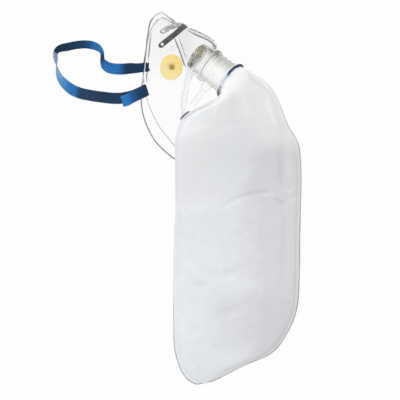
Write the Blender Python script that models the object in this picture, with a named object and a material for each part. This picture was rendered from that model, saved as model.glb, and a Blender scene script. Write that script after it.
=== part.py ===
"""Disposable oxygen face mask with a reservoir bag, lying on its side as on a table.

Metres, +Z up. The mask is modelled in its own frame: X forward from the face, Y up the
face, Z to the wearer's right. An empty then lays that frame on its left cheek.
"""
import math

import bmesh
import bpy
from mathutils import Euler, Matrix, Vector
from mathutils.bvhtree import BVHTree

MM = 0.001
FIT = 0.3 * MM                      # clearance between pieces that touch

# Mask shell
MASK_DEPTH = 30.0 * MM              # from the line of the ears forward to the bridge
MASK_LENGTH = 137.5 * MM            # nose to chin along the face
MASK_WIDTH = 88.0 * MM              # ear to ear
SHELL_WALL = 1.4 * MM
RIM_BEAD = 2.2 * MM                 # thickness of the rolled edge
HALF_SEGMENTS = 22                  # facets from the nose to the chin, on one side
PORT_DROP = math.radians(41.4)      # how far the port looks down from straight ahead
PORT_LEAN = math.radians(26.0)      # the soft shell bends here, so the port looks up from the table
PORT_RADIUS = 14.5 * MM
COLLAR_LENGTH = 7.0 * MM
SHOULDER_DEPTH = 3.0 * MM           # the shell rounds into the collar over this depth
SHOULDER_FLARE = 4.5 * MM

# Where the mask lies
MASK_X = -4.5 * MM
MASK_Y = 100.0 * MM
MASK_OFF_TABLE = 2.4 * MM           # under the rim; the far valve seat stands lower
MASK_ROLL = math.radians(14.6)
MASK_PITCH = math.radians(-3.0)
MASK_TURN = math.radians(9.4)

# Cheek valves
VALVE_CENTRE = (14.0, 19.3, 75.0)   # percent of depth, length and half the width
VALVE_LEAN = math.radians(27.0)     # the seat looks forward by this much
SEAT_RADIUS = 12.6 * MM
SEAT_THICKNESS = 2.6 * MM
SEAT_PROUD = 0.6 * MM               # height of the seat over the panel
VENT_COUNT = 6
VENT_RADIUS = 2.1 * MM
VENT_CIRCLE = 6.6 * MM
PIP_RADIUS = 1.3 * MM
PIP_HEAD_RADIUS = 2.5 * MM
PIP_HEAD_HEIGHT = 1.5 * MM
FLAP_RADIUS = 11.2 * MM
FLAP_THICKNESS = 0.8 * MM
FLAP_RIB = 0.5 * MM
FLAP_RIBS = (0.72, 0.36)             # places of the ring ribs, in shares of the radius

# Nose clip
CLIP_WIDTH = 4.8 * MM
CLIP_THICKNESS = 0.9 * MM
CLIP_LIFT = 0.4 * MM
CLIP_RIDGE = (63.3, 37.1, 0.0)
CLIP_END = (-15.0, 31.6, 61.4)
CLIP_PIP_RADIUS = 1.1 * MM
CLIP_STATIONS = 30                  # facets from the ridge to one end
CLIP_PIP_STATION = 3                # the pips stand this many facets from the ends

# Connector
SPIGOT_WALL = 1.6 * MM
CONNECTOR_REACH_IN = 7.0 * MM       # how far it stands into the mask
STOP_FLANGE_RADIUS = 16.0 * MM
STOP_FLANGE_WIDTH = 1.8 * MM
BODY_RADIUS = 13.6 * MM
RIB_HEIGHT = 1.0 * MM
RIB_WIDTH = 1.4 * MM
RIB_COUNT = 4
BAG_SPIGOT_RADIUS = 15.0 * MM
BAG_SPIGOT_START = 28.5 * MM
BAG_SPIGOT_LENGTH = 7.0 * MM
NIPPLE_AT = 17.0 * MM
NIPPLE_LENGTH = 24.0 * MM
NIPPLE_TURN = math.radians(12.0)    # round the connector, from straight down to the right
NIPPLE_RADIUS = 2.5 * MM
NIPPLE_BORE = 1.4 * MM
NIPPLE_BOSS_RADIUS = 4.2 * MM
NIPPLE_BOSS_LENGTH = 6.5 * MM
BARB_COUNT = 3
BARB_PITCH = 4.0 * MM
BARB_HEIGHT = 0.7 * MM

# Inlet valve
INLET_RING_WIDTH = 2.2 * MM
INLET_RING_DEPTH = 2.6 * MM
SPOKE_COUNT = 4
SPOKE_WIDTH = 1.6 * MM
INLET_FLAP_THICKNESS = 0.6 * MM

# Bag mouth
FILM = 0.8 * MM
BAND_THICKNESS = 1.3 * MM
BAND_WIDTH = 3.2 * MM
NECK_COLLAR = 1.2 * MM               # film that stands out past the band

# Reservoir bag
BAG_WIDTH = 114.0 * MM              # weld to weld
BAG_LENGTH = 270.0 * MM             # neck to foot, along the table
BAG_FULLNESS = 17.0 * MM            # height of the flat part with the air that is in it
# Rows from mouth to foot: left weld x, y, z, right weld x, y, z, fullness; in percent of the
# bag's width, length and the neck's height, from the neck, and of the fullness,
# then how far the section leans with the neck and how far its middle bulges on.
BAG_STATIONS = [
    (-8.1, -5.5, 95.2, 7.7, 5.0, 107.1, 208.8, 100, 0),
    (-17.3, -6.4, 101.6, 17.3, 2.7, 94.0, 197.1, 90, 3),
    (-30.5, -8.6, 113.0, 25.7, 0.3, 76.4, 170.6, 60, 3.5),
    (-40.7, -12.1, 116.9, 34.1, -4.4, 55.0, 135.3, 30, 2),
    (-45.2, -18.5, 110.8, 43.2, -13.7, 29.0, 111.8, 10, 0.5),
    (-45.5, -25.5, 85.6, 51.6, -20.0, 16.0, 102.9, 0, 0),
    (-45.5, -32.6, 51.9, 53.5, -29.3, 10.7, 100.0, 0, 0),
    (-45.5, -40.4, 22.9, 53.2, -39.6, 9.5, 97.1, 0, 0),
    (-46.2, -51.1, 9.2, 52.5, -51.1, 9.2, 94.1, 0, 0),
    (-46.4, -63.3, 8.9, 52.3, -63.0, 8.9, 91.2, 0, 0),
    (-46.6, -75.9, 8.6, 50.2, -74.4, 8.6, 88.2, 0, 0),
    (-46.1, -87.0, 7.9, 42.2, -83.0, 7.9, 79.4, 0, 0),
    (-41.4, -94.4, 6.7, 30.1, -89.3, 6.7, 64.7, 0, 0),
    (-35.3, -98.1, 4.9, 9.0, -93.3, 4.9, 44.1, 0, 0),
    (-30.5, -99.4, 3.1, -11.2, -97.4, 3.1, 23.5, 0, 0),
]
BAG_SIDES = 28
BAG_STEPS = 2                       # loops between two stations
BAG_UNDERSIDE = 0.48                # share of the fullness below the weld
TABLE = 0.0                         # the underside of the bag lies flat at this height

# Head strap
STRAP_REACH = 83.0 * MM             # how far the loop lies behind the ear
STRAP_SPREAD = 41.0 * MM            # across the loop
STRAP_WIDTH = 10.0 * MM
STRAP_THICKNESS = 1.2 * MM
SLOT_AT = 0.47                      # share of the rim from the nose to the chin
SLOT_LENGTH = 11.4 * MM
SLOT_WIDTH = 3.6 * MM
SLOT_FROM_EDGE = 5.6 * MM
SLOT_CUT = 9.0 * MM                  # depth of the cutter, through the flange and its bead
SLOT_TILT = math.radians(24.0)       # the strap pulls the slots this far round

# Rows of the strap from the right slot: back, across and up, in percent of its reach and spread
# and of the slot's height, then the direction of its width.
STRAP_TAIL = [
    (25.3, -31.2, 88.6, -0.45, 0.89, 0),
    (20.7, -24.7, 93.0, -0.45, 0.89, 0),
    (15.8, -18.2, 96.4, -0.4, 0.92, 0.05),
]
STRAP_RUN = [
    (12.2, -12.3, 105.7, -0.33, 0.94, 0.08),
    (20.1, -17.8, 101.3, -0.2, 1, 0.05),
    (27.7, -20.2, 93.6, -0.06, 1, 0.02),
    (35.4, -19.9, 82.5, 0, 1, 0),
    (50.6, -16.3, 66.0, 0.03, 1, 0),
    (62.8, -11.9, 52.3, 0.06, 1, 0.03),
    (74.9, -5.7, 39.1, 0.2, 1, 0.1),
    (83.3, 2.4, 29.7, 0.35, 0.9, 0.3),
    (90.6, 14.4, 21.5, 0.5, 0.65, 0.55),
    (95.8, 27.5, 14.9, 0.55, 0.3, 0.8),
    (98.6, 40.2, 10.5, 0.35, 0.08, 0.93),
    (100.1, 55.8, 7.7, 0.03, 0, 1),
    (101.2, 72.2, 7.2, -0.33, 0, 0.94),
    (101.4, 81.4, 6.8, -0.34, 0.1, 0.94),
    (99.5, 89.4, 6.6, -0.25, 0.4, 0.88),
    (95.2, 94.0, 6.4, -0.1, 0.62, 0.78),
    (90.0, 96.0, 6.2, 0, 0.69, 0.72),
    (78.5, 100.6, 6.2, 0, 0.69, 0.72),
    (67.2, 101.9, 6.2, 0.03, 0.69, 0.72),
    (59.7, 99.0, 6.2, 0.1, 0.69, 0.72),
    (54.0, 93.3, 6.4, 0.2, 0.5, 0.82),
    (51.1, 85.0, 6.5, 0.27, 0.2, 0.94),
    (50.6, 75.5, 6.6, 0.29, 0, 0.95),
    (50.4, 66.6, 6.5, 0.38, 0.2, 0.9),
    (48.4, 57.8, 5.9, 0.45, 0.65, 0.6),
    (44.9, 52.2, 5.1, 0.2, 0.9, 0.35),
    (39.8, 49.2, 4.4, 0.02, 1, 0.12),
    (29.4, 48.1, 4.1, 0, 1, 0.1),
    (19.7, 49.2, 4.2, 0, 1, 0.2),
]

STRAP_OFF_TABLE = 0.5 * MM
STRAP_STEPS = 3                     # facets between two rows
# How the strap goes through the slots: towards the edge of the rim and out of the skin,
# in percent of the strap's width.
RIGHT_PASS = [(34, -44), (2, -26), (0, -4), (2, 14), (34, 28), (75, 30)]
LEFT_PASS = [(120, -30), (34, -36), (3, -22), (0, 0), (4, 10), (26, 16), (80, 12)]

CLEAR_VINYL = ((0.86, 0.90, 0.92, 1.0), 0.12, 0.0)
CLEAR_RIGID = ((0.80, 0.84, 0.83, 1.0), 0.10, 0.0)
YELLOW_SILICONE = ((0.95, 0.72, 0.15, 1.0), 0.45, 0.0)
TAN_SILICONE = ((0.62, 0.52, 0.30, 1.0), 0.45, 0.0)
ALUMINIUM = ((0.28, 0.28, 0.29, 1.0), 0.38, 1.0)
WHITE_FILM = ((0.88, 0.89, 0.90, 1.0), 0.30, 0.0)
BLUE_BAND = ((0.05, 0.16, 0.40, 1.0), 0.45, 0.0)
BLUE_ELASTIC = ((0.02, 0.16, 0.42, 1.0), 0.85, 0.0)


def clear_scene():
    for item in list(bpy.data.objects):
        bpy.data.objects.remove(item, do_unlink=True)


def material(name, look):
    colour, roughness, metallic = look
    made = bpy.data.materials.new(name)
    made.use_nodes = True
    shader = made.node_tree.nodes["Principled BSDF"]
    shader.inputs["Base Color"].default_value = colour
    shader.inputs["Roughness"].default_value = roughness
    shader.inputs["Metallic"].default_value = metallic
    return made


def smooth_line(points, steps):
    """Catmull-Rom curve through points of any dimension, steps pieces to a span."""
    line = []
    last = len(points) - 1
    for i in range(last):
        before = points[max(i - 1, 0)]
        start = points[i]
        end = points[i + 1]
        after = points[min(i + 2, last)]
        for step in range(steps):
            t = step / steps
            line.append(tuple(
                0.5 * (2 * b + (c - a) * t + (2 * a - 5 * b + 4 * c - d) * t ** 2
                       + (3 * b - a - 3 * c + d) * t ** 3)
                for a, b, c, d in zip(before, start, end, after)))
    line.append(tuple(points[-1]))
    return line


def spaced_line(points, steps):
    """Smooth curve through points at uneven distances, whose first three values are the place."""
    rows = [list(row) for row in points]
    gaps = [(Vector(b[0:3]) - Vector(a[0:3])).length for a, b in zip(rows, rows[1:])]
    slopes = []
    for i, row in enumerate(rows):
        before = [(b - a) / gaps[max(i - 1, 0)]
                  for a, b in zip(rows[max(i - 1, 0)], rows[max(i, 1)])]
        after = [(b - a) / gaps[min(i, len(gaps) - 1)]
                 for a, b in zip(rows[min(i, len(rows) - 2)], rows[min(i + 1, len(rows) - 1)])]
        near = gaps[max(i - 1, 0)]
        far = gaps[min(i, len(gaps) - 1)]
        slopes.append([(a * far + b * near) / (near + far) for a, b in zip(before, after)])
    line = []
    for i, gap in enumerate(gaps):
        for step in range(steps):
            t = step / steps
            line.append(tuple(
                (2 * t ** 3 - 3 * t ** 2 + 1) * a + (t ** 3 - 2 * t ** 2 + t) * gap * u
                + (3 * t ** 2 - 2 * t ** 3) * b + (t ** 3 - t ** 2) * gap * v
                for a, b, u, v in zip(rows[i], rows[i + 1], slopes[i], slopes[i + 1])))
    line.append(tuple(rows[-1]))
    return line


def resample(line, count):
    """The same line with count + 1 points at equal distances."""
    points = [Vector(p) for p in line]
    lengths = [0.0]
    for a, b in zip(points, points[1:]):
        lengths.append(lengths[-1] + (b - a).length)
    made = []
    j = 0
    for i in range(count + 1):
        target = lengths[-1] * i / count
        while j < len(points) - 2 and lengths[j + 1] < target:
            j += 1
        share = (target - lengths[j]) / (lengths[j + 1] - lengths[j])
        made.append(points[j].lerp(points[j + 1], min(max(share, 0.0), 1.0)))
    return made


def add_object(name, mesh_data, look, parent=None, smooth=True):
    """A named object from (vertices, faces)."""
    vertices, faces = mesh_data
    mesh = bpy.data.meshes.new(name)
    mesh.from_pydata([tuple(v) for v in vertices], [], faces)
    mesh.validate()
    tidy = bmesh.new()
    tidy.from_mesh(mesh)
    bmesh.ops.recalc_face_normals(tidy, faces=tidy.faces)
    tidy.to_mesh(mesh)
    tidy.free()
    if smooth:
        mesh.shade_smooth()
        mesh.set_sharp_from_angle(angle=math.radians(35))
    mesh.materials.append(look)
    made = bpy.data.objects.new(name, mesh)
    bpy.context.scene.collection.objects.link(made)
    made.parent = parent
    return made


def loops_to_mesh(loops, cap_start=True, cap_end=True, close=False):
    """Quads between equal closed loops, with n-gon caps or joined end to start."""
    size = len(loops[0])
    vertices = [point for loop in loops for point in loop]
    faces = []
    pairs = len(loops) if close else len(loops) - 1
    for k in range(pairs):
        here = k * size
        there = ((k + 1) % len(loops)) * size
        for j in range(size):
            nxt = (j + 1) % size
            faces.append((here + j, here + nxt, there + nxt, there + j))
    if cap_start and not close:
        faces.append(tuple(reversed(range(size))))
    if cap_end and not close:
        faces.append(tuple(range((len(loops) - 1) * size, len(loops) * size)))
    return vertices, faces


def frame_along(place, direction, up):
    """Matrix with its Z along direction and its X near up."""
    z = direction.normalized()
    x = (up - up.dot(z) * z).normalized()
    y = z.cross(x)
    made = Matrix((x, y, z)).transposed().to_4x4()
    made.translation = place
    return made


def turned(profile, frame, sides):
    """Solid of revolution: profile is a closed ring of (radius, height) about frame Z."""
    loops = []
    for i in range(sides):
        angle = 2 * math.pi * i / sides
        loops.append([frame @ Vector((r * math.cos(angle), r * math.sin(angle), h))
                      for r, h in profile])
    return loops_to_mesh(loops, close=True)


def disc(frame, radius, low, high, sides):
    """Plain cylinder from height low to high on frame Z."""
    loops = []
    for height in (low, high):
        loops.append([frame @ Vector((radius * math.cos(2 * math.pi * i / sides),
                                      radius * math.sin(2 * math.pi * i / sides), height))
                      for i in range(sides)])
    return loops_to_mesh(loops)


def box(frame, size):
    """Box centred on frame."""
    x, y, z = (0.5 * s for s in size)
    loops = [[frame @ Vector(p) for p in ((-x, -y, h), (x, -y, h), (x, y, h), (-x, y, h))]
             for h in (-z, z)]
    return loops_to_mesh(loops)


def combine(target, mesh_data, operation):
    """Boolean with a hidden tool object."""
    tool = add_object(f"tool_{len(bpy.data.objects)}", mesh_data, target.data.materials[0],
                      target.parent, smooth=False)
    tool.hide_render = True
    tool.display_type = "WIRE"
    step = target.modifiers.new(operation.title(), "BOOLEAN")
    step.operation = operation
    step.object = tool
    return tool


# Mask shell

AXIS = Vector((math.cos(PORT_DROP) * math.cos(PORT_LEAN),
               -math.sin(PORT_DROP) * math.cos(PORT_LEAN), math.sin(PORT_LEAN)))
PORT_UP = Vector((math.sin(PORT_DROP), math.cos(PORT_DROP), 0.0))
SIDE = AXIS.cross(PORT_UP)

# Right half of each ring, from the nose to the chin: forward, up, right, in percent of the
# mask's depth, length and half width.
RIM_HALF = [(40, 40, 0), (0, 48.4, 27.3), (-36.7, 40, 52.3), (-60, 24, 81.8), (-85, 6.5, 100),
            (-90, -10.2, 95.5), (-68.3, -29.1, 76.1), (-26.7, -43.6, 47.7), (0, -51.6, 0)]
CREASE_HALF = [(56.7, 38.2, 0), (50, 37.1, 18.2), (33.3, 36.4, 38.6), (30, 29.1, 54.5),
               (41.7, 17.5, 60.2), (36.7, 1.5, 61.4), (16.7, -18.9, 54.5), (6.7, -34.9, 38.6),
               (10, -45.1, 0)]
DOME_HALF = [(100, 33.1, 0), (93.3, 32, 15.9), (83.3, 29.1, 30.7), (75, 24, 42), (70, 15.3, 47.7),
             (56.7, 5.8, 46.6), (36.7, -2.9, 38.6), (20, -8.7, 21.6), (16.7, -10.9, 0)]
PORT_PLACE = (102.3, 14.0, 0.0)


def on_mask(shares):
    """Point of the mask's frame from percent of its depth, length and half width."""
    x, y, z = (0.01 * share for share in shares)
    return Vector((x * MASK_DEPTH, y * MASK_LENGTH, z * 0.5 * MASK_WIDTH))


PORT_CENTRE = on_mask(PORT_PLACE)


def mirrored(vector):
    return Vector((vector.x, vector.y, -vector.z))


def half_ring(rows):
    """Smooth half ring that runs on into its mirror image at the nose and the chin."""
    points = [on_mask(row) for row in rows]
    whole = [mirrored(points[1])] + points + [mirrored(points[-2])]
    steps = 8
    line = smooth_line(whole, steps)[steps:-steps]
    return [Vector(p) for p in resample(line, HALF_SEGMENTS)]


def port_ring(along, radius):
    """Circle round the port, counted as the other rings are."""
    centre = PORT_CENTRE + AXIS * along
    ring = []
    for i in range(2 * HALF_SEGMENTS):
        angle = math.pi * i / HALF_SEGMENTS
        ring.append(centre + radius * (math.cos(angle) * PORT_UP + math.sin(angle) * SIDE))
    return ring


def full_ring(half):
    other = [mirrored(p) for p in half[1:-1]]
    return list(half) + list(reversed(other))


def shell_rings():
    """Outer skin, from the rim to the mouth of the collar, and the wall at each ring."""
    rim = full_ring(half_ring(RIM_HALF))
    crease = full_ring(half_ring(CREASE_HALF))
    dome = full_ring(half_ring(DOME_HALF))
    shoulder = port_ring(-SHOULDER_DEPTH, PORT_RADIUS + SHOULDER_FLARE)
    port = port_ring(0.0, PORT_RADIUS)
    mouth = port_ring(COLLAR_LENGTH, PORT_RADIUS)
    rings = []
    walls = []
    for share in (0.0, 0.05):
        rings.append([a.lerp(b, share) for a, b in zip(rim, crease)])
        walls.append(RIM_BEAD)
    for share in (0.1, 0.3, 0.5, 0.75, 1.0):
        rings.append([a.lerp(b, share) for a, b in zip(rim, crease)])
        walls.append(SHELL_WALL)
    columns = [smooth_line([c, d, s, p], 3) for c, d, s, p in zip(crease, dome, shoulder, port)]
    for k in range(1, len(columns[0])):
        rings.append([Vector(column[k]) for column in columns])
        walls.append(SHELL_WALL)
    rings.append(mouth)
    walls.append(SHELL_WALL)
    return rings, walls


def ring_normals(rings):
    """Unit normals of the grid, pointing out of the mask."""
    size = len(rings[0])
    normals = []
    for k, ring in enumerate(rings):
        back = rings[max(k - 1, 0)]
        ahead = rings[min(k + 1, len(rings) - 1)]
        row = []
        for j in range(size):
            across = ring[(j + 1) % size] - ring[j - 1]
            along = ahead[j] - back[j]
            row.append(along.cross(across).normalized())
        normals.append(row)
    return normals


def shell_mesh():
    rings, walls = shell_rings()
    normals = ring_normals(rings)
    inner = [[p - n * wall for p, n in zip(ring, row)]
             for ring, row, wall in zip(rings, normals, walls)]
    return loops_to_mesh(rings + list(reversed(inner)), close=True)


def skin_tree(mesh_data):
    vertices, faces = mesh_data
    return BVHTree.FromPolygons([tuple(v) for v in vertices], faces)


def skin_point(tree, near, outward):
    """Point of the shell's outer skin met from outside on the line through near."""
    start = near + outward * 0.45 * MASK_WIDTH
    place, normal, _, _ = tree.ray_cast(start, -outward)
    if normal.dot(outward) < 0:
        normal = -normal
    return place, normal


def valve_frame(tree, right):
    """On the cheek panel, Z out of the skin; the left one mirrors the right one."""
    lean = Vector((math.sin(VALVE_LEAN), 0.0, math.cos(VALVE_LEAN)))
    place, normal = skin_point(tree, on_mask(VALVE_CENTRE), lean)
    place = place + normal * SEAT_PROUD
    if not right:
        place = mirrored(place)
        normal = mirrored(normal)
    return frame_along(place, normal, Vector((0.0, 1.0, 0.0)))


def pip_profile(radius, head, low, neck, height):
    """Mushroom pip: stem up to neck, then a rounded head."""
    return [(0.0, low), (radius, low), (radius, neck), (head, neck),
            (head * 0.95, neck + 0.5 * height), (head * 0.55, neck + height),
            (0.0, neck + height)]


def spun(profile, frame, sides):
    """Solid of revolution of an open profile that starts and ends on the axis."""
    ring = profile[1:-1]
    loops = []
    for r, h in ring:
        loops.append([frame @ Vector((r * math.cos(2 * math.pi * i / sides),
                                      r * math.sin(2 * math.pi * i / sides), h))
                      for i in range(sides)])
    return loops_to_mesh(loops)


def add_valve_seat(shell, frame):
    combine(shell, disc(frame, SEAT_RADIUS, -SEAT_THICKNESS, 0.0, 28), "UNION")
    for i in range(VENT_COUNT):
        angle = 2 * math.pi * (i + 0.5) / VENT_COUNT
        hole = frame @ Matrix.Translation((VENT_CIRCLE * math.cos(angle),
                                           VENT_CIRCLE * math.sin(angle), 0.0))
        combine(shell, disc(hole, VENT_RADIUS, -2 * SEAT_THICKNESS, SEAT_THICKNESS, 10), "DIFFERENCE")
    neck = FLAP_THICKNESS + FLAP_RIB + 2 * FIT
    pip = pip_profile(PIP_RADIUS, PIP_HEAD_RADIUS, -0.5 * SEAT_THICKNESS, neck, PIP_HEAD_HEIGHT)
    combine(shell, spun(pip, frame, 12), "UNION")


def slot_frame(tree, right):
    """On the flange at the ear: Z out of the skin, X along the rim, Y to the rim's edge."""
    rings, _ = shell_rings()
    rim = rings[0]
    index = round(HALF_SEGMENTS * SLOT_AT)
    if not right:
        index = len(rim) - index
    edge = rim[index]
    tangent = (rim[index - 1] - rim[(index + 1) % len(rim)]).normalized()
    if not right:
        tangent = -tangent
    panel = (rings[6][index] - edge).normalized()
    place = edge + panel * SLOT_FROM_EDGE
    normal = tangent.cross(panel).normalized()
    if normal.z * (1 if right else -1) < 0:
        normal = -normal
    place, _ = skin_point(tree, place, normal)
    turn = SLOT_TILT if right else -SLOT_TILT
    return frame_along(place, normal, tangent) @ Matrix.Rotation(turn, 4, "Z")


def make_shell(look, parent):
    mesh_data = shell_mesh()
    tree = skin_tree(mesh_data)
    shell = add_object("mask_shell", mesh_data, look, parent)
    for right in (True, False):
        add_valve_seat(shell, valve_frame(tree, right))
        slot = slot_frame(tree, right)
        combine(shell, box(slot, (SLOT_LENGTH, SLOT_WIDTH, SLOT_CUT)), "DIFFERENCE")
    return shell, tree


# Nose clip

def clip_path(tree):
    """Middle line of the strip over the nose, with its outward and width directions."""
    stations = []
    half = CLIP_STATIONS
    for i in range(-half, half + 1):
        share = abs(i) / half
        near = on_mask(CLIP_RIDGE).lerp(on_mask(CLIP_END), share)
        if i < 0:
            near = mirrored(near)
        out = Vector((0.55, 0.55, 0.9 * min(1.0, 2.2 * share) * (1 if i >= 0 else -1)))
        stations.append((near, out.normalized()))
    placed = []
    for near, out in stations:
        best = None
        for across in (-0.5, 0.0, 0.5):
            reach = near + Vector((0.0, 1.0, 0.0)) * across * CLIP_WIDTH
            hit, _ = skin_point(tree, reach, out)
            height = (hit - near).dot(out)
            best = height if best is None else max(best, height)
        placed.append(near + out * (best + CLIP_LIFT + 0.5 * CLIP_THICKNESS))
    return placed, [out for _, out in stations]


def round_end(line, i):
    """Share of the strip's half width at station i, which falls along a round end."""
    reach = min((line[i] - line[0]).length, (line[i] - line[-1]).length)
    missing = max(0.0, 1.0 - reach / (0.5 * CLIP_WIDTH))
    return max(0.35, math.sqrt(max(0.0, 1.0 - missing ** 2)))


def make_clip(tree, look, parent, shell):
    """Strip over the nose, and the two pips of the shell that hold it."""
    line, outs = clip_path(tree)
    loops = []
    frames = []
    for i, place in enumerate(line):
        along = (line[min(i + 1, len(line) - 1)] - line[max(i - 1, 0)]).normalized()
        across = outs[i].cross(along).normalized()
        out = along.cross(across).normalized()
        frames.append((place, out, along))
        half_width = 0.5 * CLIP_WIDTH * round_end(line, i)
        half = 0.5 * CLIP_THICKNESS
        loops.append([place + across * half_width - out * half,
                      place - across * half_width - out * half,
                      place - across * half_width + out * half,
                      place + across * half_width + out * half])
    clip = add_object("nose_clip", loops_to_mesh(loops), look, parent, smooth=False)
    for index in (CLIP_PIP_STATION, len(line) - 1 - CLIP_PIP_STATION):
        place, out, along = frames[index]
        frame = frame_along(place, out, along)
        combine(clip, disc(frame, CLIP_PIP_RADIUS + FIT, -3 * MM, 3 * MM, 12), "DIFFERENCE")
        pip = pip_profile(CLIP_PIP_RADIUS, CLIP_PIP_RADIUS + 0.7 * MM, -2.0 * MM,
                          0.5 * CLIP_THICKNESS + FIT, 0.8 * MM)
        combine(shell, spun(pip, frame, 12), "UNION")
    return clip


# Valves

def make_exhalation_flap(tree, look, parent):
    frame = valve_frame(tree, True)
    low = FIT
    high = low + FLAP_THICKNESS
    rib = high + FLAP_RIB
    profile = [(PIP_RADIUS + FIT, low), (FLAP_RADIUS, low), (FLAP_RADIUS, high)]
    for share in FLAP_RIBS:
        middle = share * FLAP_RADIUS
        profile += [(middle + FLAP_RIB, high), (middle + 0.6 * FLAP_RIB, rib),
                    (middle - 0.6 * FLAP_RIB, rib), (middle - FLAP_RIB, high)]
    profile.append((PIP_RADIUS + FIT, high))
    return add_object("exhalation_valve_flap", turned(profile, frame, 28), look, parent)


SPIGOT_RADIUS = PORT_RADIUS - SHELL_WALL - FIT
SPIGOT_BORE = SPIGOT_RADIUS - SPIGOT_WALL
SEAT_POCKET = SPIGOT_BORE + 0.6 * MM
PORT_FRAME = frame_along(PORT_CENTRE, AXIS, PORT_UP)


def make_connector(look, parent):
    stop = COLLAR_LENGTH + FIT
    body_start = stop + STOP_FLANGE_WIDTH
    body_bore = BODY_RADIUS - SPIGOT_WALL
    bag_bore = BAG_SPIGOT_RADIUS - SPIGOT_WALL
    bag_end = BAG_SPIGOT_START + BAG_SPIGOT_LENGTH
    pocket_end = -CONNECTOR_REACH_IN + INLET_RING_DEPTH + 2 * FIT
    outer = [(SPIGOT_RADIUS, -CONNECTOR_REACH_IN), (SPIGOT_RADIUS, stop),
             (STOP_FLANGE_RADIUS, stop), (STOP_FLANGE_RADIUS, body_start),
             (BODY_RADIUS, body_start)]
    pitch = (BAG_SPIGOT_START - body_start) / RIB_COUNT
    for i in range(RIB_COUNT):
        middle = body_start + (i + 0.5) * pitch
        outer.append((BODY_RADIUS, middle - 0.5 * RIB_WIDTH))
        outer.append((BODY_RADIUS + RIB_HEIGHT, middle - 0.3 * RIB_WIDTH))
        outer.append((BODY_RADIUS + RIB_HEIGHT, middle + 0.3 * RIB_WIDTH))
        outer.append((BODY_RADIUS, middle + 0.5 * RIB_WIDTH))
    outer += [(BODY_RADIUS, BAG_SPIGOT_START), (BAG_SPIGOT_RADIUS, BAG_SPIGOT_START + 0.8 * MM),
              (BAG_SPIGOT_RADIUS, bag_end)]
    inner = [(bag_bore, bag_end), (bag_bore, BAG_SPIGOT_START + 1.2 * MM),
             (body_bore, BAG_SPIGOT_START - 0.6 * MM), (body_bore, body_start),
             (SPIGOT_BORE, body_start - 1.0 * MM), (SPIGOT_BORE, pocket_end),
             (SEAT_POCKET, pocket_end), (SEAT_POCKET, -CONNECTOR_REACH_IN)]
    body = add_object("connector_body", turned(outer + inner, PORT_FRAME, 28), look, parent)

    root = PORT_CENTRE + AXIS * NIPPLE_AT
    way = SIDE * math.sin(NIPPLE_TURN) - PORT_UP * math.cos(NIPPLE_TURN)
    nipple = frame_along(root, way, AXIS)
    start = BODY_RADIUS - 0.5 * SPIGOT_WALL
    tip = BODY_RADIUS + NIPPLE_LENGTH
    boss_end = BODY_RADIUS + NIPPLE_BOSS_LENGTH
    chamfer = 0.25 * NIPPLE_BOSS_LENGTH
    profile = [(0.0, start), (NIPPLE_BOSS_RADIUS, start), (NIPPLE_BOSS_RADIUS, boss_end - chamfer),
               (0.8 * NIPPLE_BOSS_RADIUS, boss_end), (NIPPLE_RADIUS, boss_end + 0.3 * chamfer)]
    for i in range(BARB_COUNT):
        foot = tip - (BARB_COUNT - i) * BARB_PITCH
        profile += [(NIPPLE_RADIUS, foot), (NIPPLE_RADIUS + BARB_HEIGHT, foot + 0.2 * BARB_PITCH)]
    profile += [(NIPPLE_RADIUS, tip), (0.0, tip)]
    combine(body, spun(profile, nipple, 14), "UNION")
    combine(body, disc(nipple, NIPPLE_BORE, 0.5 * BODY_RADIUS, tip + 2 * MM, 10), "DIFFERENCE")
    return body


def make_inlet_valve(seat_look, flap_look, parent):
    frame = PORT_FRAME
    face = -CONNECTOR_REACH_IN
    ring_outer = SEAT_POCKET - FIT
    ring_inner = ring_outer - INLET_RING_WIDTH
    back = face + INLET_RING_DEPTH
    ring = [(ring_inner, face), (ring_outer, face), (ring_outer, back), (ring_inner, back)]
    seat = add_object("inlet_valve_seat", turned(ring, frame, 24), seat_look, parent)
    for i in range(SPOKE_COUNT // 2):
        turn = frame @ Matrix.Rotation(math.pi * 2 * i / SPOKE_COUNT, 4, "Z")
        turn = turn @ Matrix.Translation((0.0, 0.0, 0.5 * (face + back)))
        depth = INLET_RING_DEPTH * (0.8 if i else 0.7)
        combine(seat, box(turn, (2 * ring_inner + 1.0 * MM, SPOKE_WIDTH, depth)), "UNION")
    down = frame @ Matrix.Rotation(math.pi, 4, "X")
    neck = CONNECTOR_REACH_IN + INLET_FLAP_THICKNESS + 2 * FIT
    root = CONNECTOR_REACH_IN - 0.6 * INLET_RING_DEPTH
    pip = pip_profile(PIP_RADIUS, PIP_HEAD_RADIUS, root, neck, PIP_HEAD_HEIGHT)
    combine(seat, spun(pip, down, 12), "UNION")
    low = CONNECTOR_REACH_IN + FIT
    high = low + INLET_FLAP_THICKNESS
    hole = PIP_RADIUS + FIT
    edge = SPIGOT_RADIUS - 0.8 * MM
    flap = [(hole, low), (edge, low), (edge, high), (hole, high)]
    add_object("inlet_valve_flap", turned(flap, down, 24), flap_look, parent)
    return seat


# Bag and band

def band_ring(frame, inner, width, thickness, start):
    soft = 0.3 * thickness
    outer = inner + thickness
    end = start + width
    profile = [(inner, start), (outer - soft, start), (outer, start + soft), (outer, end - soft),
               (outer - soft, end), (inner, end)]
    return turned(profile, frame, 24)


def mouth_loop(frame, radius, height):
    """Circle of the mouth, counted from the right edge over the top to the left edge."""
    loop = []
    for i in range(BAG_SIDES):
        angle = 2 * math.pi * i / BAG_SIDES
        loop.append(frame @ Vector((radius * math.cos(angle), radius * math.sin(angle), height)))
    return loop


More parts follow.
